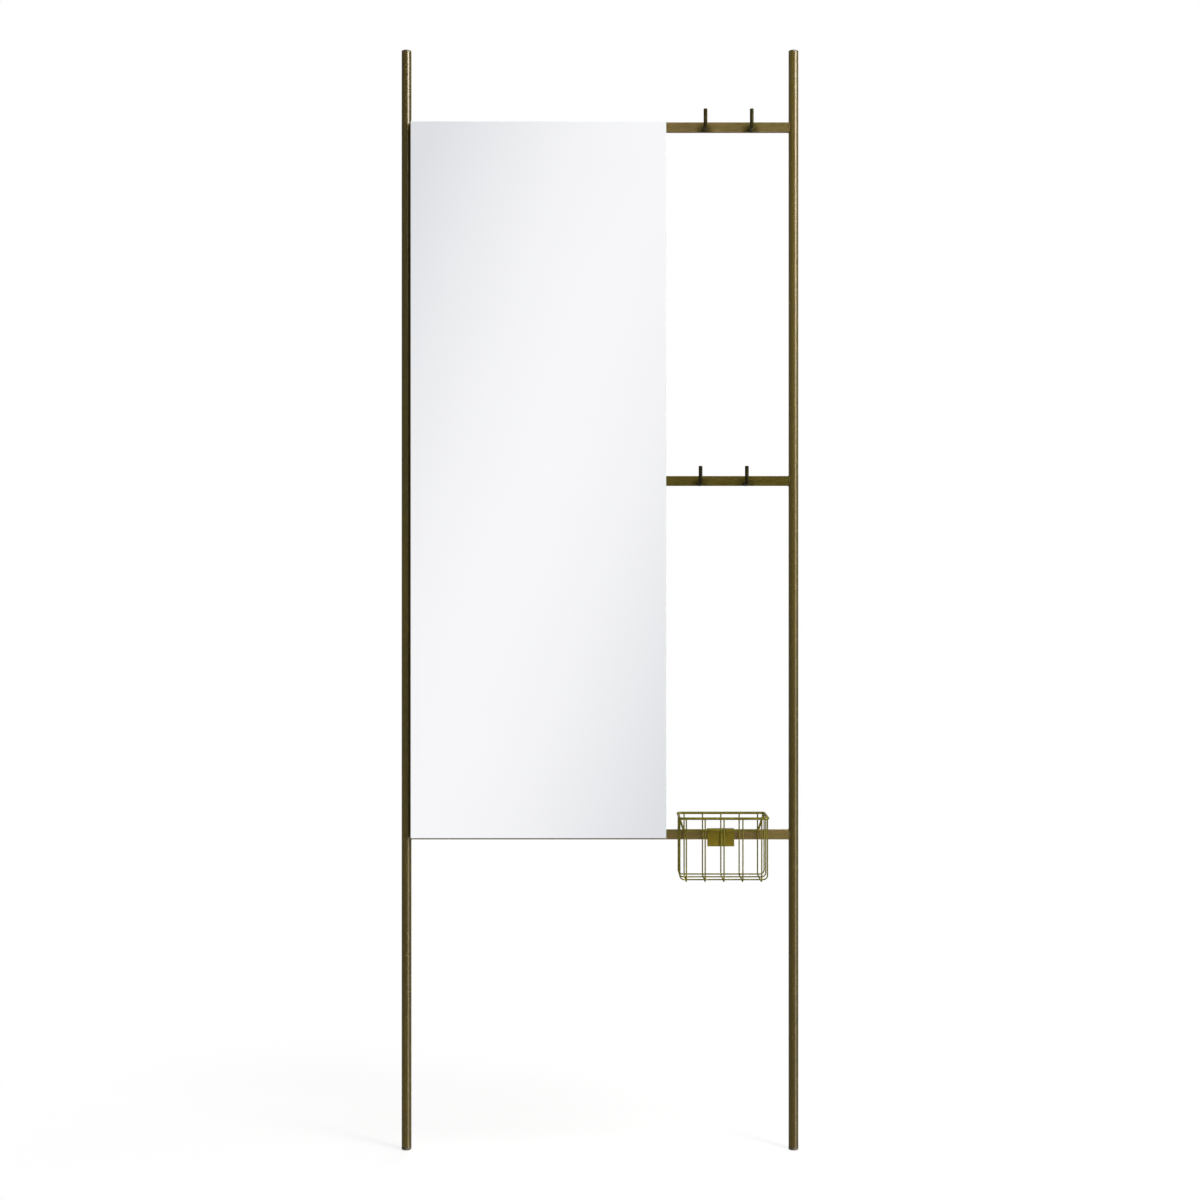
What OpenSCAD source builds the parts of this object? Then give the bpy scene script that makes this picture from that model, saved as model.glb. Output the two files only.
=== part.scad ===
// Floor mirror built as a ladder: two round rails, three flat crossbars, a frameless
// glass in front of the bars, four upturned hooks, and a wire basket on a saddle hanger.
// X runs to the right, Y to the back and Z up. The glass faces -Y and the feet stand
// at Z = 0, with the origin in the middle of the footprint of the whole object.

/* [Frame] */
// Overall height, from the floor to the top of the caps
overall_h = 1800; // [1500:10:2000]
// Width of the open bay, from the glass to the right rail
bay_w = 201; // [175:1:260]
// Outer diameter of a rail
rail_d = 16; // [13:1:20]
// Wall of a rail
rail_wall = 1.2; // [0.8:0.1:2]
// Height of a crossbar
bar_h = 16; // [14:1:20]
// Thickness of a crossbar, front to back
bar_t = 8; // [7:0.5:10]
// Wall of a crossbar
bar_wall = 1.2; // [0.8:0.1:1.6]
// Outer corner radius of a crossbar
bar_corner_r = 1; // [0.6:0.1:2]
// Height of the bottom crossbar's middle above the floor
bottom_bar_z = 516; // [400:1:600]
// Distance from the top of the caps down to the top crossbar's middle
top_bar_drop = 126; // [60:1:200]
// Fit gap at a welded joint
weld_gap = 0.05; // [0.02:0.01:0.1]

/* [Caps and feet] */
// Height of a cap above its rail
cap_show = 3; // [2:0.5:6]
// Height of a foot below its rail
foot_show = 5; // [3:0.5:10]
// Rounding of the outer edge of caps and feet
end_edge_r = 1.5; // [0.5:0.25:2]
// Length of the stem that a cap or foot has inside the rail
stem_len = 14; // [8:1:25]
// Depth of the grip fins around a stem
fin_depth = 1.5; // [1:0.1:2]
// Thickness of a grip fin
fin_t = 1.2; // [0.8:0.1:1.6]
// Number of grip fins on a stem
fin_count = 3; // [2:1:4]
// Gap between the fins and the rail's bore
stem_gap = 0.1; // [0.05:0.05:0.3]

/* [Mirror] */
// Width of the glass
mirror_w = 417; // [340:1:520]
// Thickness of the glass
mirror_t = 4; // [3:0.5:6]
// Arris ground on the front edges of the glass
mirror_arris = 0.6; // [0.3:0.1:1]
// How far the bottom crossbar shows below the glass
reveal_bottom = 3; // [0:0.5:4]
// How far the top crossbar reaches above the glass
reveal_top = 1; // [0:0.5:4]
// Thickness of the backing board
backing_t = 6; // [5:0.5:9]
// How far the backing board stays inside the edges of the glass
backing_inset = 1.5; // [1:0.5:3]
// Bevel on the back edges of the backing board
backing_bevel = 1; // [0.4:0.2:2]
// Thickness of the mounting tape between board and glass
tape_t = 1; // [0.8:0.1:2]
// Width of a strip of mounting tape
tape_w = 19; // [12:1:30]
// Number of strips of mounting tape
tape_count = 4; // [3:1:6]
// How far the tape stops short of the board's top and bottom
tape_end = 20; // [5:5:60]

/* [Mirror screws] */
// Diameter of a screw's shank
screw_d = 3.5; // [3:0.1:4]
// Diameter of a screw's head
screw_head_d = 7; // [6:0.5:8]
// Height of a screw's head
screw_head_h = 2.4; // [1.8:0.2:3]
// Rounding of a screw's head
screw_head_r = 1.2; // [0.4:0.2:1.6]
// Width of the cross slot in a screw's head
screw_slot = 1; // [0.8:0.1:1.2]
// Depth of the cross slot in a screw's head
screw_slot_depth = 1.2; // [0.8:0.1:1.5]
// How deep a screw bites into the backing board
screw_bite = 4.5; // [3:0.5:4.5]
// Gap around a shank in the crossbar
screw_gap = 0.25; // [0.15:0.05:0.5]
// Gap around a shank in its pilot hole, and beyond its tip
pilot_gap = 0.05; // [0.02:0.01:0.1]
// Distance between the two screws of a crossbar
screw_pitch = 300; // [200:10:340]
// How far the end screws sit from their bar's middle, towards the middle bar
screw_offset = 3; // [0:0.5:4]

/* [Hooks] */
// Diameter of a hook's rod
hook_d = 6.2; // [5:0.1:8]
// From the crossbar's face to the middle of a hook's upright
hook_reach = 29; // [20:1:45]
// How far a hook's tip rises above its crossbar
hook_rise = 14.3; // [8:0.1:25]
// Bend radius of a hook, at the rod's middle
hook_bend_r = 6; // [4.5:0.5:9]
// Rounding of a hook's tip
hook_tip_r = 1; // [0.4:0.2:2]
// Distance between the two hooks of a crossbar
hook_pitch = 75; // [50:1:90]
// Shift of the top hooks from the middle of the open bay
top_hook_shift = 0; // [-20:1:20]
// Shift of the middle hooks from the middle of the open bay
middle_hook_shift = -8; // [-20:1:20]

/* [Basket] */
// Width of the rim, from wire middle to wire middle
rim_w = 141; // [139:1:150]
// Depth of the rim, from wire middle to wire middle
rim_depth = 80; // [79:1:110]
// Diameter of the rim wire
rim_d = 4.2; // [3.6:0.1:5]
// Corner radius of the rim, at the wire's middle
rim_corner_r = 6; // [5:0.5:9]
// Height of the rim's middle above the top edge of the bottom crossbar
rim_lift = 28; // [20:1:40]
// Height from the cross wires in the base up to the rim
basket_h = 98.5; // [80:0.5:130]
// Diameter of the ribs and cross wires
wire_d = 2.2; // [1.8:0.1:2.8]
// Bend radius of the ribs and cross wires, at the wire's middle
wire_bend_r = 7; // [4:0.5:8]
// How far the ribs and cross wires rise inside the rim's middle line
leg_inset = 0.5; // [0:0.1:0.8]
// Distance between the ribs, which run from front to back
rib_pitch = 30; // [22:1:30]
// Distance between the cross wires, which run from side to side
cross_pitch = 30; // [20:1:30]
// Shift of the basket from the middle of the open bay
basket_shift = -11; // [-20:1:20]
// Diameter of the hang wire, which carries the basket on its hanger
hang_wire_d = 3.6; // [3:0.1:4.2]
// Length of the level run of the hang wire, between its corners
hang_wire_run = 122; // [100:1:130]
// Bend radius of the hang wire, at its middle
hang_bend_r = 6; // [4:0.5:8]
// Share of its diameter that the hang wire keeps where bending has stretched it
bend_thinning = 0.985; // [0.97:0.005:0.99]
// How far the hang wire's full diameter reaches into a bend
bend_lap = 0.2; // [0.1:0.05:0.3]

/* [Hanger] */
// Width of the saddle hanger, along the crossbar
hanger_w = 44; // [38:1:56]
// Thickness of the hanger's sheet
hanger_t = 1.5; // [1.2:0.1:2]
// Length of the front leaf below the top edge of the crossbar
front_leaf = 27; // [18:1:40]
// Length of the back leaf below the top edge of the crossbar
back_leaf = 12; // [8:0.5:15]
// Width of a hook tab on the hanger
tab_w = 8; // [5:1:10]
// Distance between the two hook tabs
tab_pitch = 26; // [18:1:28]
// How far a hook tab's lip rises above the hang wire
tab_lip = 0.8; // [0.2:0.1:2]
// Sliding gap between the hanger and the crossbar
slide_gap = 0.3; // [0.2:0.05:0.5]
// Gap between the lifted-off basket and its hanger
seat_gap = 0.3; // [0.2:0.05:0.5]

/* [Hidden] */
$fn = 64;

bronze = [0.40, 0.34, 0.19];
dark_bronze = [0.22, 0.18, 0.10];
olive_brass = [0.42, 0.38, 0.13];
end_plastic = [0.16, 0.13, 0.08];
silvered = [0.90, 0.91, 0.93];
board_brown = [0.36, 0.27, 0.19];
tape_white = [0.93, 0.93, 0.90];
zinc = [0.70, 0.70, 0.72];

rail_r = rail_d / 2;
rail_x = (mirror_w + bay_w + rail_d) / 2;
bore_r = rail_r - rail_wall;
top_bar_z = overall_h - top_bar_drop;
middle_bar_z = (bottom_bar_z + top_bar_z) / 2;
bar_face_y = -bar_t / 2;

mirror_left = rail_r - rail_x;
mirror_right = mirror_left + mirror_w;
mirror_bottom = bottom_bar_z - bar_h / 2 + reveal_bottom;
mirror_top = top_bar_z + bar_h / 2 - reveal_top;
backing_y = bar_face_y - backing_t;
tape_y = backing_y - tape_t;
mirror_y = tape_y - mirror_t;
backing_w = mirror_w - 2 * backing_inset;
backing_h = mirror_top - mirror_bottom - 2 * backing_inset;
screw_mid_x = (mirror_left + mirror_right) / 2;

bay_mid_x = (mirror_right + rail_x - rail_r) / 2;

basket_x = bay_mid_x + basket_shift;
bar_top = bottom_bar_z + bar_h / 2;
rim_z = bar_top + rim_lift;
cross_z = rim_z - basket_h;
rib_z = cross_z - wire_d - weld_gap;
hanger_face_y = bar_face_y - slide_gap - hanger_t;
rib_back_y = hanger_face_y - seat_gap - wire_d / 2;
rim_back_y = rib_back_y + leg_inset;
rim_front_y = rim_back_y - rim_depth;
rim_mid_y = (rim_back_y + rim_front_y) / 2;
rib_front_y = rim_front_y + leg_inset;
cross_leg_x = rim_w / 2 - leg_inset;
hang_wire_y = rib_back_y - wire_d / 2 - weld_gap - hang_wire_d / 2;
hang_wire_z = bar_top;
// Where the rim's rounded corner passes over the plane of the hang wire
corner_back = rim_corner_r - (rim_back_y - hang_wire_y);
hang_wire_top_x = rim_w / 2 - rim_corner_r + sqrt(rim_corner_r ^ 2 - corner_back ^ 2);

// Moves the rail plane back, so that the origin lies in the middle of the footprint
origin_y = -(rail_r + rim_front_y - rim_d / 2) / 2;

module in_place() {
    translate([0, origin_y, 0])
        children();
}

// Flat paths with round bends

function heading(from, to) = atan2(to.y - from.y, to.x - from.x);

function swing(path, i) =
    let (raw = heading(path[i], path[i + 1]) - heading(path[i - 1], path[i]))
    raw > 180 ? raw - 360 : raw < -180 ? raw + 360 : raw;

function bend_cut(path, i, bend_r) =
    i == 0 || i == len(path) - 1 ? 0 : bend_r * tan(abs(swing(path, i)) / 2);

// Carries a flat section along a path in the XY plane, with a round bend at each corner.
// The bends may be drawn thinner than the straight runs, which then lap over their ends.
module carry_along(path, bend_r, bend_scale = 1, lap = 0) {
    for (i = [0 : len(path) - 2]) {
        start_cut = bend_cut(path, i, bend_r) - (i == 0 ? 0 : lap);
        end_cut = bend_cut(path, i + 1, bend_r) - (i == len(path) - 2 ? 0 : lap);
        translate([path[i].x, path[i].y, 0])
            rotate([0, 0, heading(path[i], path[i + 1])])
                translate([start_cut, 0, 0])
                    rotate([90, 0, 90])
                        linear_extrude(norm(path[i + 1] - path[i]) - start_cut - end_cut)
                            children();
    }
    for (i = [1 : len(path) - 2]) {
        bend = swing(path, i);
        translate([path[i].x, path[i].y, 0])
            rotate([0, 0, heading(path[i - 1], path[i])])
                translate([-bend_cut(path, i, bend_r), sign(bend) * bend_r, 0])
                    rotate([0, 0, bend > 0 ? -90 : 90 + bend])
                        rotate_extrude(angle = abs(bend))
                            translate([bend_r, 0])
                                scale(bend_scale)
                                    children();
    }
}

// Stands a path's plane up, so that its X runs along the object's Y and its Y runs up
module upright_sideways() {
    rotate([90, 0, 90])
        children();
}

// Stands a path's plane up, so that its X stays and its Y runs up
module upright_facing() {
    rotate([90, 0, 0])
        children();
}

// Flat shapes

module rounded_rect(w, h, r) {
    square([w - 2 * r, h], center = true);
    square([w, h - 2 * r], center = true);
    for (x = [-1, 1], y = [-1, 1])
        translate([x * (w / 2 - r), y * (h / 2 - r)])
            circle(r);
}

module quarter_disc(r) {
    intersection() {
        circle(r);
        square(r);
    }
}

// Half section of a disc whose outer edge is rounded over its whole height
module rounded_edge_section(r, edge_r) {
    square([r - edge_r, edge_r]);
    translate([r - edge_r, 0])
        quarter_disc(edge_r);
}

// Half section of a round end whose outer edge is rounded, for turning about its axis
module rounded_end_section(r, h, edge_r) {
    square([r, h - edge_r]);
    translate([0, h - edge_r])
        rounded_edge_section(r, edge_r);
}

// Rails and their ends

module rail(side) {
    color(bronze)
        in_place()
            translate([side * rail_x, 0, foot_show])
                difference() {
                    cylinder(r = rail_r, h = overall_h - foot_show - cap_show);
                    translate([0, 0, -1])
                        cylinder(r = bore_r, h = overall_h);
                }
}

// A plug with grip fins on its stem and a rounded head as wide as the rail
module end_plug(show) {
    rotate_extrude() {
        rounded_end_section(rail_r, show, end_edge_r);
        translate([0, -stem_len])
            square([bore_r - fin_depth, stem_len]);
        for (i = [0 : fin_count - 1])
            translate([0, -stem_len * (i + 0.5) / fin_count - fin_t / 2])
                square([bore_r - stem_gap, fin_t]);
    }
}

module top_cap(side) {
    color(end_plastic)
        in_place()
            translate([side * rail_x, 0, overall_h - cap_show])
                end_plug(cap_show);
}

module foot(side) {
    color(end_plastic)
        in_place()
            translate([side * rail_x, 0, foot_show])
                rotate([180, 0, 0])
                    end_plug(foot_show);
}

// Crossbars

// Places a child at each screw of one crossbar, with its axis along -Y
module at_screws(bar_z, offset_z) {
    for (side = [-1, 1])
        translate([screw_mid_x + side * screw_pitch / 2, 0, bar_z + offset_z])
            rotate([90, 0, 0])
                children();
}

module crossbar(bar_z, screw_z) {
    color(bronze)
        in_place()
            difference() {
                translate([-rail_x, 0, bar_z])
                    rotate([90, 0, 90])
                        linear_extrude(2 * rail_x)
                            difference() {
                                rounded_rect(bar_t, bar_h, bar_corner_r);
                                rounded_rect(bar_t - 2 * bar_wall, bar_h - 2 * bar_wall, 0.2);
                            }
                for (side = [-1, 1])
                    translate([side * rail_x, 0, bar_z - bar_h])
                        cylinder(r = rail_r + weld_gap, h = 2 * bar_h);
                at_screws(bar_z, screw_z)
                    cylinder(d = screw_d + 2 * screw_gap, h = 2 * bar_t, center = true);
            }
}

// Mirror

// A panel with its front face at y = 0 and its front edges bevelled
module panel(w, t, h, bevel) {
    intersection() {
        linear_extrude(h)
            polygon([[0, t], [0, bevel], [bevel, 0], [w - bevel, 0], [w, bevel], [w, t]]);
        upright_sideways()
            linear_extrude(w)
                polygon([[t, 0], [t, h], [bevel, h], [0, h - bevel], [0, bevel], [bevel, 0]]);
    }
}

module mirror_glass() {
    color(silvered)
        in_place()
            translate([mirror_left, mirror_y, mirror_bottom])
                panel(mirror_w, mirror_t, mirror_top - mirror_bottom, mirror_arris);
}

module mirror_tape() {
    color(tape_white)
        in_place()
            for (i = [0 : tape_count - 1])
                translate([
                    mirror_left + backing_inset + backing_w * (i + 0.5) / tape_count - tape_w / 2,
                    tape_y,
                    mirror_bottom + backing_inset + tape_end
                ])
                    cube([tape_w, tape_t, backing_h - 2 * tape_end]);
}

module mirror_backing() {
    color(board_brown)
        in_place()
            difference() {
                translate([mirror_left + backing_inset, bar_face_y, mirror_bottom + backing_inset])
                    mirror([0, 1, 0])
                        panel(backing_w, backing_t, backing_h, backing_bevel);
                at_all_screws()
                    translate([0, 0, -bar_face_y - 1])
                        cylinder(d = screw_d + 2 * pilot_gap, h = screw_bite + pilot_gap + 1);
            }
}

// Places a child at every mirror screw
module at_all_screws() {
    at_screws(bottom_bar_z, screw_offset)
        children();
    at_screws(middle_bar_z, 0)
        children();
    at_screws(top_bar_z, -screw_offset)
        children();
}

module mirror_screws() {
    color(zinc)
        in_place()
            at_all_screws()
                translate([0, 0, bar_face_y])
                    screw(bar_t + screw_bite);
}

// A pan-head screw with its head below z = 0 and its tip at z = length
module screw(length) {
    cylinder(d = screw_d, h = length - screw_d / 2);
    translate([0, 0, length - screw_d / 2])
        cylinder(d1 = screw_d, d2 = screw_d / 4, h = screw_d / 2);
    rotate([180, 0, 0])
        difference() {
            rotate_extrude()
                rounded_end_section(screw_head_d / 2, screw_head_h, screw_head_r);
            for (turn = [0, 90])
                rotate([0, 0, turn])
                    translate([-screw_head_d / 4, -screw_slot / 2, screw_head_h - screw_slot_depth])
                        cube([screw_head_d / 2, screw_slot, screw_slot_depth + 1]);
        }
}

// Hooks

// One rod, bent up at its front end, welded to the face of a crossbar
module hook(x, bar_z) {
    rod_z = bar_z - bar_h / 2 + hook_d / 2;
    tip_z = bar_z + bar_h / 2 + hook_rise;
    upright_y = bar_face_y - hook_reach;
    color(dark_bronze)
        in_place()
            translate([x, 0, 0]) {
                upright_sideways()
                    carry_along(
                        [[bar_face_y - weld_gap, rod_z], [upright_y, rod_z], [upright_y, tip_z - hook_tip_r]],
                        hook_bend_r
                    )
                        circle(d = hook_d);
                translate([0, upright_y, tip_z - hook_tip_r])
                    rotate_extrude()
                        rounded_edge_section(hook_d / 2, hook_tip_r);
            }
}

module top_hook(side) {
    hook(bay_mid_x + top_hook_shift + side * hook_pitch / 2, top_bar_z);
}

module middle_hook(side) {
    hook(bay_mid_x + middle_hook_shift + side * hook_pitch / 2, middle_bar_z);
}

// Basket

// The rim's closed ring, from the middle of its back run and round to it again
module rim_ring(d) {
    translate([basket_x, rim_mid_y, rim_z])
        carry_along(
            [
                [0, rim_depth / 2], [-rim_w / 2, rim_depth / 2], [-rim_w / 2, -rim_depth / 2],
                [rim_w / 2, -rim_depth / 2], [rim_w / 2, rim_depth / 2], [0, rim_depth / 2]
            ],
            rim_corner_r
        )
            circle(d = d);
}

module basket_rim() {
    color(olive_brass)
        in_place()
            rim_ring(rim_d);
}

// Fits the top ends of a wire to the underside of the rim
module coped_to_rim() {
    color(olive_brass)
        in_place()
            difference() {
                children();
                rim_ring(rim_d + 2 * weld_gap);
            }
}

// A wire that runs down the back, under the base and up the front, as number 1 to 5
module basket_rib(number) {
    coped_to_rim()
        translate([basket_x + (number - 3) * rib_pitch, 0, 0])
            upright_sideways()
                carry_along(
                    [
                        [rib_back_y, rim_z], [rib_back_y, rib_z],
                        [rib_front_y, rib_z], [rib_front_y, rim_z]
                    ],
                    wire_bend_r
                )
                    circle(d = wire_d);
}

// A wire that runs down one side, across the base and up the other, as number 1 to 3
module basket_cross_wire(number) {
    coped_to_rim()
        translate([basket_x, rim_mid_y + (2 - number) * cross_pitch, 0])
            upright_facing()
                carry_along(
                    [
                        [-cross_leg_x, rim_z], [-cross_leg_x, cross_z],
                        [cross_leg_x, cross_z], [cross_leg_x, rim_z]
                    ],
                    wire_bend_r
                )
                    circle(d = wire_d);
}

// A heavy wire from one back corner of the rim down to the hanger and up to the other
module basket_hang_wire() {
    coped_to_rim()
        translate([basket_x, hang_wire_y, 0])
            upright_facing()
                carry_along(
                    [
                        [-hang_wire_top_x, rim_z], [-hang_wire_run / 2, hang_wire_z],
                        [hang_wire_run / 2, hang_wire_z], [hang_wire_top_x, rim_z]
                    ],
                    hang_bend_r, bend_thinning, bend_lap
                )
                    circle(d = hang_wire_d);
}

// A bent sheet that rides on the bottom crossbar and carries the hang wire on two tabs
module basket_hanger() {
    leaf_y = hanger_face_y + hanger_t / 2;
    fold_z = bar_top + slide_gap + hanger_t / 2;
    fold_r = bar_corner_r + slide_gap + hanger_t / 2;
    wrap_r = hang_wire_d / 2 + seat_gap + hanger_t / 2;
    color(olive_brass)
        in_place()
            translate([basket_x, 0, 0])
                upright_sideways() {
                    carry_along(
                        [
                            [-leaf_y, bar_top - back_leaf], [-leaf_y, fold_z],
                            [leaf_y, fold_z], [leaf_y, bar_top - front_leaf]
                        ],
                        fold_r
                    )
                        square([hanger_t, hanger_w], center = true);
                    for (side = [-1, 1])
                        translate([0, 0, side * tab_pitch / 2])
                            carry_along(
                                [
                                    [leaf_y, hang_wire_z - wrap_r],
                                    [hang_wire_y - wrap_r, hang_wire_z - wrap_r],
                                    [hang_wire_y - wrap_r, hang_wire_z + hang_wire_d / 2 + tab_lip]
                                ],
                                wrap_r
                            )
                                square([hanger_t, tab_w], center = true);
                }
}

rail(-1);  // left_rail
rail(1);  // right_rail
foot(-1);  // left_foot
foot(1);  // right_foot
top_cap(-1);  // left_top_cap
top_cap(1);  // right_top_cap
crossbar(top_bar_z, -screw_offset);  // top_crossbar
crossbar(middle_bar_z, 0);  // middle_crossbar
crossbar(bottom_bar_z, screw_offset);  // bottom_crossbar
mirror_glass();
mirror_tape();
mirror_backing();
mirror_screws();
top_hook(-1);  // top_left_hook
top_hook(1);  // top_right_hook
middle_hook(-1);  // middle_left_hook
middle_hook(1);  // middle_right_hook
basket_rim();
basket_rib(1);  // basket_rib_1
basket_rib(2);  // basket_rib_2
basket_rib(3);  // basket_rib_3
basket_rib(4);  // basket_rib_4
basket_rib(5);  // basket_rib_5
basket_cross_wire(1);  // basket_cross_wire_1
basket_cross_wire(2);  // basket_cross_wire_2
basket_cross_wire(3);  // basket_cross_wire_3
basket_hang_wire();
basket_hanger();
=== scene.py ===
import math

import bmesh
import bpy
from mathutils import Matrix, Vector


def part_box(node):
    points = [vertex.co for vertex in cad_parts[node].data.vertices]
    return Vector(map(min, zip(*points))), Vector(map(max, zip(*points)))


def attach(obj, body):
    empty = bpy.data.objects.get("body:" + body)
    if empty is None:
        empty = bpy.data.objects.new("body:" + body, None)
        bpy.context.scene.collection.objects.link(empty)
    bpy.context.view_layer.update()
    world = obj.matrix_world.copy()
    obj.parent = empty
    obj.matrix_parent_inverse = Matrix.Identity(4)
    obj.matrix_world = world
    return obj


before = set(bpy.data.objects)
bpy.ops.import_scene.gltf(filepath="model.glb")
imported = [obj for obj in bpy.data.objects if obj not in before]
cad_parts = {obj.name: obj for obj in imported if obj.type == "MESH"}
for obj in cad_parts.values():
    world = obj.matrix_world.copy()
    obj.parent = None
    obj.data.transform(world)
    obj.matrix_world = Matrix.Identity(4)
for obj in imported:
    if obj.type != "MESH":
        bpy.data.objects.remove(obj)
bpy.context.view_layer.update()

MM = 0.001

RAILS = ("left_rail", "right_rail")
BARS = ("top_crossbar", "middle_crossbar", "bottom_crossbar")
HOOKS = ("top_left_hook", "top_right_hook", "middle_left_hook", "middle_right_hook")
RIBS = tuple(f"basket_rib_{number}" for number in range(1, 6))
CROSS_WIRES = tuple(f"basket_cross_wire_{number}" for number in range(1, 4))
END_PLUGS = ("left_foot", "right_foot", "left_top_cap", "right_top_cap")

BAR_CORNER = 1.0 * MM
HOOK_ROD = 6.2 * MM
BASKET_WIRE = 2.2 * MM
HANG_WIRE = 3.6 * MM
HANG_WIRE_BEND = 12 * MM


def middle(node):
    low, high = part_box(node)
    return (low + high) / 2


def half_size(node):
    low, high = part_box(node)
    return (high - low) / 2


# Wiring of shader nodes

class Wiring:
    """A shader node tree with short ways to write sums, soft steps and mixes."""

    def __init__(self, tree):
        self.nodes, self.links = tree.nodes, tree.links

    def node(self, kind, **settings):
        made = self.nodes.new(kind)
        for name, value in settings.items():
            setattr(made, name, value)
        return made

    def feed(self, socket, value):
        """Links a socket, or sets a number or a colour on the input itself."""
        if isinstance(value, bpy.types.NodeSocket):
            self.links.new(value, socket)
        elif isinstance(value, tuple) and len(value) == 3 and len(socket.default_value) == 4:
            socket.default_value = (*value, 1.0)
        else:
            socket.default_value = value

    def sum(self, operation, *values):
        made = self.node("ShaderNodeMath", operation=operation)
        for socket, value in zip(made.inputs, values):
            self.feed(socket, value)
        return made.outputs[0]

    def weighted(self, *pairs):
        """Adds up values, each times its weight."""
        total = None
        for value, weight in pairs:
            part = self.sum("MULTIPLY", value, weight)
            total = part if total is None else self.sum("ADD", total, part)
        return total

    def step(self, value, low, high, to_low=0.0, to_high=1.0):
        """Eases from to_low to to_high while the value goes from low to high."""
        made = self.node("ShaderNodeMapRange", interpolation_type="SMOOTHSTEP")
        for name, number in (("Value", value), ("From Min", low), ("From Max", high),
                             ("To Min", to_low), ("To Max", to_high)):
            self.feed(made.inputs[name], number)
        return made.outputs["Result"]

    def mix(self, share, first, second):
        """Goes from the first colour to the second as the share goes from 0 to 1."""
        made = self.node("ShaderNodeMix", data_type="RGBA")
        for socket, value in ((made.inputs[0], share), (made.inputs[6], first), (made.inputs[7], second)):
            self.feed(socket, value)
        return made.outputs[2]

    def parts(self, vector):
        """The x, y and z of a vector."""
        made = self.node("ShaderNodeSeparateXYZ")
        self.feed(made.inputs[0], vector)
        return made.outputs[0], made.outputs[1], made.outputs[2]


class Finish(Wiring):
    """A node material being made: its shader and its place on the object."""

    def __init__(self, name):
        self.material = bpy.data.materials.new(name)
        self.material.use_nodes = True
        super().__init__(self.material.node_tree)
        self.shader = self.nodes["Principled BSDF"]
        self.place = self.node("ShaderNodeTexCoord").outputs["Object"]

    def shade(self, **values):
        """Feeds the shader's inputs, named with underscores for spaces."""
        for name, value in values.items():
            self.feed(self.shader.inputs[name.replace("_", " ")], value)

    def stretched(self, x=1.0, y=1.0, z=1.0):
        """The place on the object, scaled so that a pattern is drawn out where the scale is small."""
        made = self.node("ShaderNodeMapping")
        self.feed(made.inputs["Vector"], self.place)
        made.inputs["Scale"].default_value = (x, y, z)
        return made.outputs["Vector"]

    def clouds(self, per_metre, detail=2.0, roughness=0.5, at=None):
        """Noise with this many blotches to the metre, from 0 to 1."""
        made = self.node("ShaderNodeTexNoise")
        self.feed(made.inputs["Vector"], self.place if at is None else at)
        for name, value in (("Scale", per_metre), ("Detail", detail), ("Roughness", roughness)):
            self.feed(made.inputs[name], value)
        return made.outputs["Fac"]

    def facing(self):
        """Which way the surface faces: to the right, to the back and up."""
        return self.parts(self.node("ShaderNodeNewGeometry").outputs["Normal"])

    def relief(self, height, depth, strength=1.0, over=None):
        """A bump of this depth in metres, over an earlier one where it is given."""
        made = self.node("ShaderNodeBump")
        for name, value in (("Height", height), ("Distance", depth), ("Strength", strength)):
            self.feed(made.inputs[name], value)
        if over is not None:
            self.feed(made.inputs["Normal"], over)
        return made.outputs["Normal"]


# Tones

WARM_SHINE = (1.0, 0.97, 0.90)
BRONZE_DARK, BRONZE_LIGHT, BRONZE_WORN = (0.054, 0.038, 0.005), (0.096, 0.068, 0.011), (0.26, 0.20, 0.09)
# Painted shadow: the dark tone laid round the hooks' feet on the crossbars' fronts
HOOK_FOOT_SHADOW_TONE = (0.034, 0.027, 0.002)
BAR_DARK, BAR_LIGHT = (0.106, 0.083, 0.022), (0.206, 0.134, 0.056)
# Painted shade and painted light: the middle crossbar's lacquer gets darker tones and the bottom crossbar's
# lighter ones, standing in for how the light falls on them
SHADED_BAR_DARK, SHADED_BAR_LIGHT = (0.063, 0.050, 0.006), (0.106, 0.074, 0.013)
LIT_BAR_DARK, LIT_BAR_LIGHT = (0.124, 0.097, 0.024), (0.240, 0.157, 0.062)
BAR_TONES = {"top_crossbar": (BAR_DARK, BAR_LIGHT),
             "middle_crossbar": (SHADED_BAR_DARK, SHADED_BAR_LIGHT),
             "bottom_crossbar": (LIT_BAR_DARK, LIT_BAR_LIGHT)}
HOOK_TONES = (0.020, 0.016, 0.003), (0.030, 0.024, 0.004), (0.12, 0.09, 0.045)
# Painted shade: the middle hooks get darker tones than the top ones
SHADED_HOOK_TONES = (0.009, 0.0075, 0.002), (0.015, 0.012, 0.003), (0.06, 0.045, 0.022)
BRASS_WORN = (0.32, 0.275, 0.07)
WIRE_TONES = (0.098, 0.085, 0.008), (0.140, 0.122, 0.014), BRASS_WORN
HANGER_TONES = (0.140, 0.107, 0.007), (0.196, 0.150, 0.015), BRASS_WORN

PLASTIC_DARK, PLASTIC_LIGHT = (0.040, 0.031, 0.013), (0.062, 0.049, 0.022)
SILVER_DULL, SILVER_BRIGHT = (0.952, 0.954, 0.959), (0.958, 0.960, 0.965)
GROUND_EDGE_DARK, GROUND_EDGE_LIGHT = (0.50, 0.62, 0.57), (0.62, 0.73, 0.68)
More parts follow.
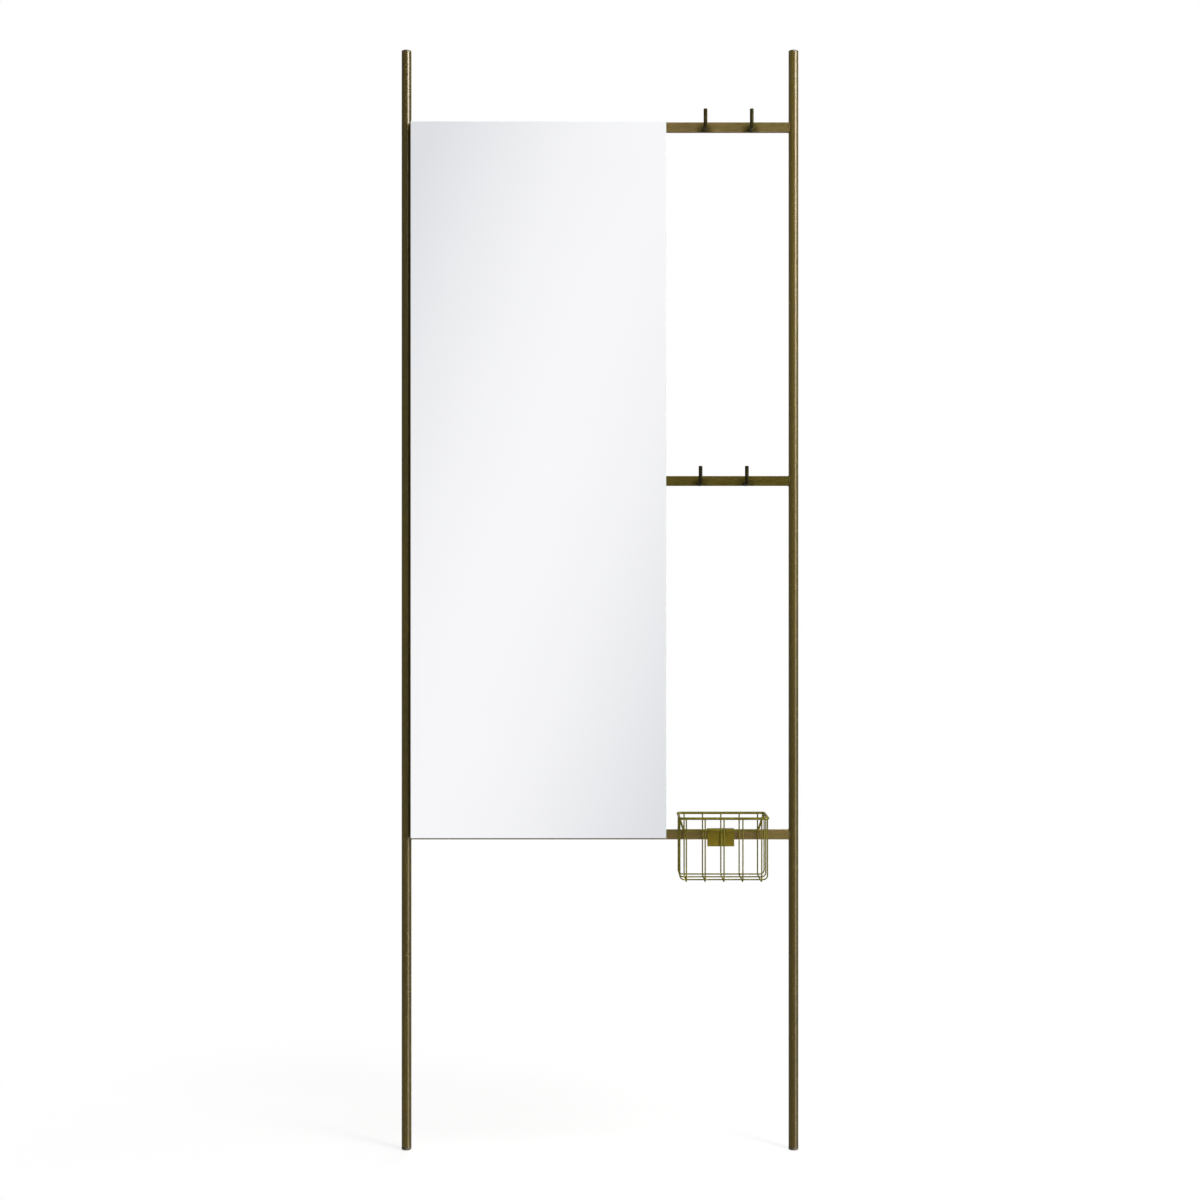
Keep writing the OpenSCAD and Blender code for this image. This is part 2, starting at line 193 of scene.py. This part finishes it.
# Darker tones for the glass edges where they face down
DOWN_FACING_EDGE_DARK, DOWN_FACING_EDGE_LIGHT = (0.020, 0.020, 0.019), (0.034, 0.034, 0.033)
BACK_PAINT_DARK, BACK_PAINT_LIGHT = (0.20, 0.21, 0.22), (0.25, 0.26, 0.27)
FOAM_PORE, FOAM_SKIN = (0.70, 0.70, 0.67), (0.86, 0.86, 0.83)
BOARD_DARK, BOARD_LIGHT, BOARD_STRAND = (0.095, 0.055, 0.028), (0.170, 0.108, 0.062), (0.30, 0.20, 0.12)
SAWN_DARK, SAWN_LIGHT = (0.16, 0.105, 0.062), (0.27, 0.19, 0.12)
ZINC_GREY, ZINC_STRAW = (0.40, 0.40, 0.41), (0.54, 0.53, 0.48)


# Finishes

EVEN = (1.0, 1.0, 1.0)
ALONG_X = (0.06, 1.0, 1.0)
ALONG_Z = (1.0, 1.0, 0.06)
EDGE_RUB_REACH = 0.9 * MM
# Reach and fade of the painted shadow round the hooks' feet
HOOK_SHADOW_REACH_ACROSS, HOOK_SHADOW_REACH_UP, HOOK_SHADOW_FADE = 18 * MM, 13 * MM, 3 * MM
SCUFF_HEIGHT = 0.35

# Roughness of the glass, as greys
FRONT_ROUGHNESS, EDGE_ROUGHNESS, BACK_ROUGHNESS = (0.0, 0.0, 0.0), (0.42, 0.42, 0.42), (0.6, 0.6, 0.6)


def edge_rub(finish, bar):
    """How far a crossbar's four long edges are rubbed, in patches, where y and z are both near a face."""
    place, centre, half = finish.parts(finish.place), middle(bar), half_size(bar)
    near_face = []
    for axis in (1, 2):
        off = finish.sum("ABSOLUTE", finish.sum("SUBTRACT", place[axis], centre[axis]))
        near_face.append(finish.step(off, half[axis] - EDGE_RUB_REACH, half[axis] - 0.15 * EDGE_RUB_REACH))
    patches = finish.step(finish.clouds(60, detail=3), 0.3, 0.7, 0.25, 0.8)
    return finish.sum("MULTIPLY", finish.sum("MULTIPLY", *near_face), patches)


def hook_foot_spots(bar):
    """Where hooks are welded on a crossbar's front, as x and z."""
    low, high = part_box(bar)
    spots = []
    for hook in HOOKS:
        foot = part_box(hook)[0].z + HOOK_ROD / 2
        if low.z < foot < high.z:
            spots.append((middle(hook).x, foot))
    return spots


def painted_hook_shadow(finish, cloud, bar):
    """Painted shadow: how far the front of a crossbar is darkened round its hooks' feet, with a cloudy
    outline.
    """
    x, y, z = finish.parts(finish.place)
    hook_shadow = 0.0
    for spot_x, spot_z in hook_foot_spots(bar):
        off_x = finish.sum("DIVIDE", finish.sum("SUBTRACT", x, spot_x), HOOK_SHADOW_REACH_ACROSS)
        off_z = finish.sum("DIVIDE", finish.sum("SUBTRACT", z, spot_z), HOOK_SHADOW_REACH_UP)
        squares = finish.sum("ADD", finish.sum("POWER", off_x, 2.0), finish.sum("POWER", off_z, 2.0))
        off = finish.sum("ADD", finish.sum("SQRT", squares), finish.sum("MULTIPLY", cloud, 0.3))
        hook_shadow = finish.sum("MAXIMUM", hook_shadow, finish.step(off, 0.45, 1.25, 1.0, 0.0))
    bar_middle = middle(bar).y
    return finish.sum("MULTIPLY", hook_shadow, finish.step(y, bar_middle - HOOK_SHADOW_FADE, bar_middle, 0.85, 0.0))


def lacquered_metal(name, dark, light, worn, metallic=0.35, gloss=0.34, shine=0.2, drawn=EVEN,
                    scuffed_below=None, bar=None):
    """Antique lacquer over metal: cloudy tone, orange peel, lines along the drawn direction, small rubs.
    Scuffs gather low down on a rail. A crossbar has rubbed edges and a painted shadow round its hooks'
    feet."""
    finish = Finish(name)
    cloud = finish.clouds(14, detail=3, roughness=0.6, at=finish.stretched(*drawn))
    speck = finish.clouds(900, detail=1)
    lines = finish.clouds(1500, detail=3, roughness=0.6, at=finish.stretched(*drawn))
    tone = finish.weighted((cloud, 0.5), (speck, 0.2), (lines, 0.3))
    colour = finish.mix(finish.step(tone, 0.40, 0.60), dark, light)

    scratches = finish.clouds(240, detail=4, roughness=0.7, at=finish.stretched(*drawn))
    scuffing = 0.2
    if scuffed_below is not None:
        height = finish.parts(finish.place)[2]
        scuffing = finish.step(height, 0.0, scuffed_below, 1.0, 0.12)
    rub = finish.sum("MULTIPLY", finish.step(scratches, 0.62, 0.74), scuffing)
    if bar is not None:
        rub = finish.sum("MAXIMUM", edge_rub(finish, bar), rub)
    colour = finish.mix(finish.sum("MULTIPLY", rub, 0.75), colour, worn)
    if bar is not None:
        # painted shadow round the hooks' feet
        colour = finish.mix(painted_hook_shadow(finish, cloud, bar), colour, HOOK_FOOT_SHADOW_TONE)

    rough = finish.sum("ADD", gloss - 0.05, finish.sum("MULTIPLY", cloud, 0.1))
    rough = finish.sum("SUBTRACT", rough, finish.sum("MULTIPLY", rub, 0.06))
    relief = finish.relief(finish.clouds(700, detail=2), 0.06 * MM, 0.6)
    relief = finish.relief(lines, 0.03 * MM, 0.6, over=relief)
    finish.shade(Base_Color=colour, Metallic=metallic, Roughness=rough, Normal=relief,
                 Specular_IOR_Level=shine, Specular_Tint=WARM_SHINE)
    return finish.material


def moulded_plastic():
    """Bronze-brown plastic with a fine spark-eroded grain."""
    finish = Finish("moulded end plastic")
    grain = finish.clouds(2600, detail=2)
    cloud = finish.clouds(60, detail=2)
    colour = finish.mix(finish.step(cloud, 0.35, 0.65), PLASTIC_DARK, PLASTIC_LIGHT)
    rough = finish.sum("ADD", 0.5, finish.sum("MULTIPLY", grain, 0.14))
    finish.shade(Base_Color=colour, Roughness=rough, Normal=finish.relief(grain, 0.03 * MM, 0.7),
                 Specular_IOR_Level=0.4)
    return finish.material


def silvered_glass():
    """Silver seen through the polished front face, pale ground edges that turn dark where they face down,
    and grey paint on the back."""
    finish = Finish("silvered glass")
    along, up = finish.facing()[1:]
    front = finish.step(along, -0.985, -0.93, 1.0, 0.0)
    back = finish.step(along, 0.93, 0.985)
    below = finish.step(up, -0.6, -0.3, 1.0, 0.0)
    silver = finish.mix(finish.step(finish.clouds(5, detail=3), 0.3, 0.7), SILVER_DULL, SILVER_BRIGHT)
    grain = finish.clouds(1800, detail=3, roughness=0.7)
    patches = finish.step(grain, 0.3, 0.7)
    edge = finish.mix(patches, GROUND_EDGE_DARK, GROUND_EDGE_LIGHT)
    # the glass edges turn dark where they face down
    edge = finish.mix(below, edge, finish.mix(patches, DOWN_FACING_EDGE_DARK, DOWN_FACING_EDGE_LIGHT))
    brushed = finish.step(finish.clouds(45, detail=4), 0.35, 0.65)
    paint = finish.mix(brushed, BACK_PAINT_DARK, BACK_PAINT_LIGHT)
    colour = finish.mix(front, finish.mix(back, edge, paint), silver)
    rough = finish.mix(front, finish.mix(back, EDGE_ROUGHNESS, BACK_ROUGHNESS), FRONT_ROUGHNESS)
    off_front = finish.sum("SUBTRACT", 1.0, front)
    relief = finish.relief(grain, 0.05 * MM, finish.sum("MULTIPLY", off_front, 0.5))
    finish.shade(Base_Color=colour, Metallic=front, Roughness=rough, Normal=relief)
    return finish.material


def foam_tape():
    """White closed-cell foam with small pores."""
    finish = Finish("mounting foam")
    cells = finish.node("ShaderNodeTexVoronoi")
    finish.feed(cells.inputs["Vector"], finish.place)
    finish.feed(cells.inputs["Scale"], 3000)
    pores = cells.outputs["Distance"]
    colour = finish.mix(finish.step(pores, 0.1, 0.5), FOAM_PORE, FOAM_SKIN)
    finish.shade(Base_Color=colour, Roughness=0.8, Normal=finish.relief(pores, 0.08 * MM, 0.6))
    return finish.material


def fibreboard():
    """Brown pressed board: fine fibres all over, a smooth face, and paler, rougher sawn edges."""
    finish = Finish("brown fibreboard")
    along = finish.facing()[1]
    edge = finish.step(finish.sum("ABSOLUTE", along), 0.95, 0.8)
    fibres = finish.clouds(1300, detail=5, roughness=0.75, at=finish.stretched(z=0.35))
    felt = finish.clouds(170, detail=4, roughness=0.6)
    tone = finish.weighted((fibres, 0.6), (felt, 0.4))
    face = finish.mix(finish.step(tone, 0.36, 0.64), BOARD_DARK, BOARD_LIGHT)
    sawn = finish.mix(finish.step(fibres, 0.3, 0.7), SAWN_DARK, SAWN_LIGHT)
    strand = finish.step(finish.clouds(420, detail=3, at=finish.stretched(x=0.15)), 0.66, 0.72)
    face = finish.mix(finish.sum("MULTIPLY", strand, 0.35), face, BOARD_STRAND)
    rough = finish.sum("ADD", 0.5, finish.sum("MULTIPLY", edge, 0.25))
    relief = finish.relief(tone, 0.06 * MM, 0.5)
    finish.shade(Base_Color=finish.mix(edge, face, sawn), Roughness=rough, Normal=relief)
    return finish.material


def zinc_plating():
    """Bright zinc with a faint straw tint and a fine grain."""
    finish = Finish("zinc plating")
    cloud = finish.clouds(350, detail=3)
    colour = finish.mix(finish.step(cloud, 0.35, 0.65), ZINC_GREY, ZINC_STRAW)
    rough = finish.sum("ADD", 0.26, finish.sum("MULTIPLY", cloud, 0.12))
    relief = finish.relief(finish.clouds(2400, detail=2), 0.02 * MM, 0.6)
    finish.shade(Base_Color=colour, Metallic=1.0, Roughness=rough, Normal=relief)
    return finish.material


def wear(node, material):
    """Gives a CAD piece its finish."""
    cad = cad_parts[node]
    cad.data.materials.clear()
    cad.data.materials.append(material)


rail_bronze = lacquered_metal("rail bronze lacquer", BRONZE_DARK, BRONZE_LIGHT, BRONZE_WORN, metallic=0.03,
                              gloss=0.27, shine=0.3, drawn=ALONG_Z, scuffed_below=SCUFF_HEIGHT)
hook_bronze = lacquered_metal("hook bronze lacquer", *HOOK_TONES, metallic=0.0, gloss=0.55, shine=0.06)
# painted shade for the middle hooks
shaded_hook_bronze = lacquered_metal("shaded hook bronze lacquer", *SHADED_HOOK_TONES,
                                     metallic=0.0, gloss=0.55, shine=0.05)
bar_weld_bronze = lacquered_metal("bar weld bronze", BRONZE_DARK, BAR_LIGHT, BRONZE_WORN, gloss=0.42)
olive_brass = lacquered_metal("olive brass lacquer", *WIRE_TONES, metallic=0.15, gloss=0.45, shine=0.15)
hanger_brass = lacquered_metal("hanger brass lacquer", *HANGER_TONES, gloss=0.42, shine=0.15, drawn=ALONG_X)

for node in RAILS:
    wear(node, rail_bronze)
for node in BARS:
    bar_lacquer = node.replace("_", " ") + " bronze lacquer"
    # the middle and bottom crossbars carry painted shade and painted light in their tones
    wear(node, lacquered_metal(bar_lacquer, *BAR_TONES[node], BRONZE_WORN,
                               gloss=0.38, drawn=ALONG_X, bar=node))
for node in HOOKS:
    wear(node, shaded_hook_bronze if node.startswith("middle") else hook_bronze)
for node in ("basket_rim", "basket_hang_wire", *RIBS, *CROSS_WIRES):
    wear(node, olive_brass)
wear("basket_hanger", hanger_brass)
end_plastic = moulded_plastic()
for node in END_PLUGS:
    wear(node, end_plastic)
wear("mirror_glass", silvered_glass())
wear("mirror_tape", foam_tape())
wear("mirror_backing", fibreboard())
wear("mirror_screws", zinc_plating())


# Welds

SEAM_POINT_SPACING = 0.5 * MM
BEAD_STEP, BEAD_RIPPLE = 0.3 * MM, 0.12
BAR_BEAD, BAR_RIPPLE_PITCH = 0.9 * MM, 1.3 * MM
HOOK_BEAD, HOOK_RIPPLE_PITCH = 0.8 * MM, 1.1 * MM
DROP, DROP_RISE = 1.25 * MM, 0.3 * MM


class Shaper:
    """A geometry node tree being made, with its named inputs."""

    def __init__(self, name, sizes):
        self.tree = bpy.data.node_groups.new(name, "GeometryNodeTree")
        face = self.tree.interface
        face.new_socket("Path", in_out="INPUT", socket_type="NodeSocketGeometry")
        self.keys = {}
        for label, kind in sizes:
            self.keys[label] = face.new_socket(label, in_out="INPUT", socket_type=kind).identifier
        face.new_socket("Weld", in_out="OUTPUT", socket_type="NodeSocketGeometry")
        self.given = self.tree.nodes.new("NodeGroupInput").outputs
        self.result = self.tree.nodes.new("NodeGroupOutput").inputs["Weld"]

    def node(self, kind, feeds=(), **settings):
        made = self.tree.nodes.new(kind)
        for name, value in settings.items():
            setattr(made, name, value)
        for key, value in dict(feeds).items():
            socket = made.inputs[key]
            if isinstance(value, bpy.types.NodeSocket):
                self.tree.links.new(value, socket)
            else:
                socket.default_value = value
        return made.outputs

    def close(self, geometry):
        smooth = self.node("GeometryNodeSetShadeSmooth", {"Geometry": geometry})[0]
        finish = self.given["Finish"]
        coated = self.node("GeometryNodeSetMaterial", {"Geometry": smooth, "Material": finish})
        self.tree.links.new(coated[0], self.result)

    def make(self, name, path, **sizes):
        """Runs the tree on a path mesh and returns the result as a plain mesh object."""
        work = bpy.data.objects.new(name + "_path", path)
        bpy.context.scene.collection.objects.link(work)
        modifier = work.modifiers.new("weld", "NODES")
        modifier.node_group = self.tree
        for label, value in sizes.items():
            modifier[self.keys[label.replace("_", " ")]] = value
        ready = work.evaluated_get(bpy.context.evaluated_depsgraph_get())
        mesh = bpy.data.meshes.new_from_object(ready)
        mesh.name = name
        bpy.data.objects.remove(work)
        made = bpy.data.objects.new(name, mesh)
        bpy.context.scene.collection.objects.link(made)
        return made


def weld_bead_tree():
    """A rippled bead laid along each loop of the path."""
    shaper = Shaper("weld bead", (("Bead radius", "NodeSocketFloat"), ("Ripple", "NodeSocketFloat"),
                                  ("Ripple pitch", "NodeSocketFloat"), ("Step", "NodeSocketFloat"),
                                  ("Finish", "NodeSocketMaterial")))
    given, node = shaper.given, shaper.node
    loops = node("GeometryNodeMeshToCurve", {"Mesh": given["Path"]})[0]
    even = node("GeometryNodeResampleCurve", {"Curve": loops, "Length": given["Step"]}, mode="LENGTH")[0]
    along = node("GeometryNodeSplineParameter")["Length"]
    turns = node("ShaderNodeMath", {0: along, 1: given["Ripple pitch"]}, operation="DIVIDE")[0]
    angle = node("ShaderNodeMath", {0: turns, 1: math.tau}, operation="MULTIPLY")[0]
    wave = node("ShaderNodeMath", {0: angle}, operation="SINE")[0]
    swell = node("ShaderNodeMath", {0: wave, 1: given["Ripple"], 2: 1.0}, operation="MULTIPLY_ADD")[0]
    radius = given["Bead radius"]
    profile = node("GeometryNodeCurvePrimitiveCircle", {"Resolution": 10, "Radius": radius})[0]
    bead = node("GeometryNodeCurveToMesh", {"Curve": even, "Profile Curve": profile, "Scale": swell})[0]
    shaper.close(bead)
    return shaper


def spot_weld_tree():
    """A small drop of metal at each point of the path, each with its own size and turn."""
    shaper = Shaper("spot weld", (("Drop radius", "NodeSocketFloat"), ("Least", "NodeSocketFloat"),
                                  ("Most", "NodeSocketFloat"), ("Seed", "NodeSocketInt"),
                                  ("Finish", "NodeSocketMaterial")))
    given, node = shaper.given, shaper.node
    drop = node("GeometryNodeMeshIcoSphere", {"Radius": given["Drop radius"], "Subdivisions": 2})["Mesh"]
    size = node("FunctionNodeRandomValue", {2: given["Least"], 3: given["Most"], "Seed": given["Seed"]},
                data_type="FLOAT")[1]
    turn = node("FunctionNodeRandomValue", {0: (0.0, 0.0, 0.0), 1: (math.tau, math.tau, math.tau),
                                            "Seed": given["Seed"]}, data_type="FLOAT_VECTOR")[0]
    points = node("GeometryNodeMeshToPoints", {"Mesh": given["Path"]})[0]
    drops = node("GeometryNodeInstanceOnPoints", {"Points": points, "Instance": drop, "Rotation": turn,
                                                  "Scale": size})[0]
    shaper.close(node("GeometryNodeRealizeInstances", {"Geometry": drops})[0])
    return shaper


def loops_mesh(name, loops):
    """Closed rings of edges through the given points, as a path for a bead."""
    mesh = bmesh.new()
    for loop in loops:
        corners = [mesh.verts.new(point) for point in loop]
        for first, second in zip(corners, corners[1:] + corners[:1]):
            mesh.edges.new((first, second))
    path = bpy.data.meshes.new(name)
    mesh.to_mesh(path)
    mesh.free()
    return path


def points_mesh(name, points):
    """Loose points, as a path for drops."""
    path = bpy.data.meshes.new(name)
    path.from_pydata([tuple(point) for point in points], [], [])
    return path


def bar_end_loop(bar, rail):
    """The seam where a crossbar's rounded section meets the round rail."""
    centre, half = middle(bar), half_size(bar)
    rail_mid, rail_radius = middle(rail), half_size(rail).x
    inward = 1.0 if rail_mid.x < centre.x else -1.0
    flat_y, flat_z = half.y - BAR_CORNER, half.z - BAR_CORNER
    section = []
    for quarter, (sign_y, sign_z) in enumerate(((1, 1), (-1, 1), (-1, -1), (1, -1))):
        for turn in range(7):
            angle = math.radians(90 * quarter + 15 * turn)
            section.append((sign_y * flat_y + BAR_CORNER * math.cos(angle),
                            sign_z * flat_z + BAR_CORNER * math.sin(angle)))
    loop = []
    for (y0, z0), (y1, z1) in zip(section, section[1:] + section[:1]):
        steps = max(1, round(math.hypot(y1 - y0, z1 - z0) / SEAM_POINT_SPACING))
        for step in range(steps):
            share = step / steps
            y, z = y0 + (y1 - y0) * share, z0 + (z1 - z0) * share
            reach = math.sqrt(rail_radius ** 2 - y ** 2)
            loop.append((rail_mid.x + inward * reach, rail_mid.y + y, centre.z + z))
    return loop


def hook_foot_loop(hook, points=40):
    """The ring where a hook's rod meets its crossbar."""
    low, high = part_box(hook)
    centre_x, face_y, rod_z = (low.x + high.x) / 2, high.y, low.z + HOOK_ROD / 2
    ring = []
    for turn in range(points):
        angle = math.tau * turn / points
        ring.append((centre_x + HOOK_ROD / 2 * math.cos(angle), face_y,
                     rod_z + HOOK_ROD / 2 * math.sin(angle)))
    return ring


def basket_weld_points():
    """Where the basket's wires cross each other and meet the rim and the hang wire."""
    rim_weld_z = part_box("basket_rim")[0].z + DROP_RISE
    hang, hang_low = middle("basket_hang_wire"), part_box("basket_hang_wire")[0]
    hang_reach = half_size("basket_hang_wire").x - HANG_WIRE_BEND
    cross_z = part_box(CROSS_WIRES[0])[0].z
    points = []
    for rib in RIBS:
        x = middle(rib).x
        for wire in CROSS_WIRES:
            points.append((x, middle(wire).y, cross_z))
        rib_low, rib_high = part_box(rib)
        for y in (rib_low.y + BASKET_WIRE / 2, rib_high.y - BASKET_WIRE / 2):
            points.append((x, y, rim_weld_z))
        if abs(x - hang.x) < hang_reach:
            points.append((x, hang.y + HANG_WIRE / 2, hang_low.z + HANG_WIRE / 2))
    for wire in CROSS_WIRES:
        wire_low, wire_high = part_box(wire)
        for x in (wire_low.x + BASKET_WIRE / 2, wire_high.x - BASKET_WIRE / 2):
            points.append((x, middle(wire).y, rim_weld_z))
    return points


beads = weld_bead_tree()
bar_welds = beads.make(
    "bar_weld_beads", loops_mesh("bar ends", [bar_end_loop(bar, rail) for bar in BARS for rail in RAILS]),
    Bead_radius=BAR_BEAD, Ripple=BEAD_RIPPLE, Ripple_pitch=BAR_RIPPLE_PITCH, Step=BEAD_STEP,
    Finish=bar_weld_bronze)
hook_welds = beads.make(
    "hook_weld_beads", loops_mesh("hook feet", [hook_foot_loop(hook) for hook in HOOKS]),
    Bead_radius=HOOK_BEAD, Ripple=BEAD_RIPPLE, Ripple_pitch=HOOK_RIPPLE_PITCH, Step=BEAD_STEP,
    Finish=hook_bronze)
wire_welds = spot_weld_tree().make(
    "basket_spot_welds", points_mesh("wire crossings", basket_weld_points()),
    Drop_radius=DROP, Least=0.85, Most=1.1, Seed=11, Finish=olive_brass)

for piece, body, slot in ((bar_welds, "ladder", "bronze_tube"), (hook_welds, "ladder", "hook_bronze"),
                          (wire_welds, "basket", "olive_brass_wire")):
    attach(piece, body)


# Studio

FLOOR_REACH, FLOOR_DROP = 2.2, 0.2 * MM
FLOOR_GREY = (0.95, 0.95, 0.95)
FEET_SHADOW_REACH, SHADOW_END = 0.35, 1.2
GLOW_AT_FEET = 0.72
WHITE, BLACK = (1.0, 1.0, 1.0), (0.0, 0.0, 0.0)

AMBIENT = (0.38, 0.38, 0.38)
ROOM_GREY, ROOM_BAND, ROOM_GROUND = (0.764, 0.771, 0.798), (0.974, 0.972, 0.984), (0.86, 0.865, 0.88)
BAND_PLACE, BAND_HALF_WIDTH, BAND_PITCH = 0.0519, 0.1229, 0.42
# How far the satin metal darkens the room that the mirror reflects
SATIN_DIMMING = 0.5
WINDOW_LIGHT, LOW_WINDOW_LIGHT = 31.0, 6.2
WINDOW_TONE = (1.78, 1.80, 1.98)

# Directions in the room, in degrees
BAND_LEAN = 20
GROUND_FADE = (-30, -8)
WINDOW_AZIMUTH = 51
WINDOW_SIDE_FADE = (4, 22)
WINDOW_SILL_FADE, WINDOW_HEAD_FADE = (3, 20), (40, 65)
LOW_WINDOW_FADE = (-40, 20)


def studio_floor():
    """A round white floor that keeps the shadow near the feet and runs out into plain white. The mirror and
    the metal don't reflect it."""
    mesh = bmesh.new()
    bmesh.ops.create_circle(mesh, cap_ends=True, radius=FLOOR_REACH, segments=96)
    bmesh.ops.translate(mesh, verts=mesh.verts, vec=(0, 0, -FLOOR_DROP))
    flat = bpy.data.meshes.new("studio_floor")
    mesh.to_mesh(flat)
    mesh.free()
    floor = bpy.data.objects.new("studio_floor", flat)
    bpy.context.scene.collection.objects.link(floor)
    finish = Finish("white floor")
    finish.nodes.remove(finish.shader)
    paint = finish.node("ShaderNodeBsdfDiffuse")
    finish.feed(paint.inputs["Color"], FLOOR_GREY)
    glow = finish.node("ShaderNodeEmission")
    finish.feed(glow.inputs["Color"], WHITE)
    ray = finish.node("ShaderNodeLightPath").outputs
    seen = finish.sum("MAXIMUM", finish.sum("MAXIMUM", ray["Is Camera Ray"], ray["Is Glossy Ray"]),
                      ray["Is Transmission Ray"])
    distance = finish.node("ShaderNodeVectorMath", operation="LENGTH")
    finish.feed(distance.inputs[0], finish.place)
    share = finish.step(distance.outputs["Value"], FEET_SHADOW_REACH, SHADOW_END, GLOW_AT_FEET, 1.0)
    blend = finish.node("ShaderNodeMixShader")
    finish.feed(blend.inputs[0], finish.sum("MULTIPLY", seen, share))
    finish.feed(blend.inputs[1], paint.outputs[0])
    finish.feed(blend.inputs[2], glow.outputs[0])
    finish.feed(finish.nodes["Material Output"].inputs["Surface"], blend.outputs[0])
    flat.materials.append(finish.material)
    floor.visible_glossy = False


def studio_world():
    """White behind the object. The mirror reflects a pale grey room with soft slanted bands over a pale
    ground. Satin metal reflects that room dimmed, and a soft bright window to the right as well."""
    world = bpy.data.worlds.new("studio")
    bpy.context.scene.world = world
    world.use_nodes = True
    sky = Wiring(world.node_tree)
    sky.nodes.clear()

    def over(angle, degrees, to_low=0.0, to_high=1.0):
        """Eases over a span of degrees."""
        low, high = degrees
        return sky.step(angle, math.radians(low), math.radians(high), to_low, to_high)

    to_right, to_back, up = sky.parts(sky.node("ShaderNodeTexCoord").outputs["Generated"])
    azimuth = sky.sum("ARCTAN2", to_right, sky.sum("MULTIPLY", to_back, -1.0))
    elevation = sky.sum("ARCSINE", up)
    lean = math.radians(BAND_LEAN)
    slant = sky.sum("SUBTRACT", sky.sum("MULTIPLY", azimuth, math.cos(lean)),
                    sky.sum("MULTIPLY", sky.sum("TANGENT", elevation), math.sin(lean)))
    off_band = sky.sum("PINGPONG", sky.sum("ADD", slant, BAND_PLACE), BAND_PITCH / 2)
    share = sky.sum("MINIMUM", sky.sum("DIVIDE", off_band, BAND_HALF_WIDTH), 1.0)
    band = sky.sum("COSINE", sky.sum("MULTIPLY", share, math.pi / 2))
    room = sky.mix(band, ROOM_GREY, ROOM_BAND)
    room = sky.mix(over(elevation, GROUND_FADE, 1.0, 0.0), room, ROOM_GROUND)

    off_window = sky.sum("ABSOLUTE", sky.sum("SUBTRACT", azimuth, math.radians(WINDOW_AZIMUTH)))
    window = over(off_window, WINDOW_SIDE_FADE, 1.0, 0.0)
    high = sky.sum("MULTIPLY", over(elevation, WINDOW_SILL_FADE),
                   over(elevation, WINDOW_HEAD_FADE, WINDOW_LIGHT, 0.0))
    low = over(elevation, LOW_WINDOW_FADE, LOW_WINDOW_LIGHT, LOW_WINDOW_LIGHT * 0.6)
    glow = sky.sum("MULTIPLY", window, sky.sum("ADD", high, low))
    satin_room = sky.mix(glow, sky.mix(SATIN_DIMMING, room, BLACK), WINDOW_TONE)
    satin_room.node.clamp_factor = False

    ray = sky.node("ShaderNodeLightPath").outputs
    reflected = sky.mix(ray["Is Singular Ray"], satin_room, room)
    lit = sky.mix(ray["Is Glossy Ray"], AMBIENT, reflected)
    seen = sky.sum("MAXIMUM", ray["Is Camera Ray"], ray["Is Transmission Ray"])
    background = sky.node("ShaderNodeBackground")
    sky.feed(background.inputs["Color"], sky.mix(seen, lit, WHITE))
    output = sky.node("ShaderNodeOutputWorld")
    sky.feed(output.inputs["Surface"], background.outputs[0])


def lamp(name, place, target, width, height, watts, tone=WHITE):
    """An area lamp aimed at a target. It lights the object and shows in no reflection."""
    light = bpy.data.lights.new(name, "AREA")
    light.shape, light.size, light.size_y = "RECTANGLE", width, height
    light.energy, light.color = watts, tone
    made = bpy.data.objects.new(name, light)
    made.location = place
    made.rotation_euler = (Vector(target) - Vector(place)).to_track_quat("-Z", "Y").to_euler()
    made.visible_camera = made.visible_glossy = False
    bpy.context.scene.collection.objects.link(made)


WARM_LAMP = (1.0, 0.98, 0.94)
OBJECT_MIDDLE, UPPER_THIRD = (0.0, 0.0, 0.9), (0.0, 0.0, 1.2)

studio_floor()
studio_world()
lamp("upper softbox", (1.7, -1.5, 2.5), UPPER_THIRD, width=0.7, height=0.9, watts=36, tone=WARM_LAMP)
lamp("lower softbox", (1.7, -1.5, 0.9), OBJECT_MIDDLE, width=0.6, height=1.6, watts=13, tone=WARM_LAMP)
lamp("left fill", (-1.7, -2.4, 1.7), OBJECT_MIDDLE, width=1.6, height=1.6, watts=1.2)
lamp("overhead", (0.3, -0.2, 3.3), OBJECT_MIDDLE, width=1.2, height=0.8, watts=42)
lamp("back fill", (0.4, 2.6, 2.1), OBJECT_MIDDLE, width=1.6, height=1.6, watts=30)


# Camera

RAIL_PLANE_Y = middle("left_rail").y
CAMERA_DISTANCE = 3.0
EYE_HEIGHT = 0.900
LENS, SENSOR_WIDTH = 54.92, 36.0

camera = bpy.data.cameras.new("camera")
camera.sensor_width = SENSOR_WIDTH
camera.lens = LENS
camera.clip_end = 50
eye = bpy.data.objects.new("camera", camera)
eye.location = (0.0, RAIL_PLANE_Y - CAMERA_DISTANCE, EYE_HEIGHT)
eye.rotation_euler = (math.radians(90), 0, 0)
bpy.context.scene.collection.objects.link(eye)
bpy.context.scene.camera = eye

bpy.context.scene.view_settings.view_transform = "Standard"
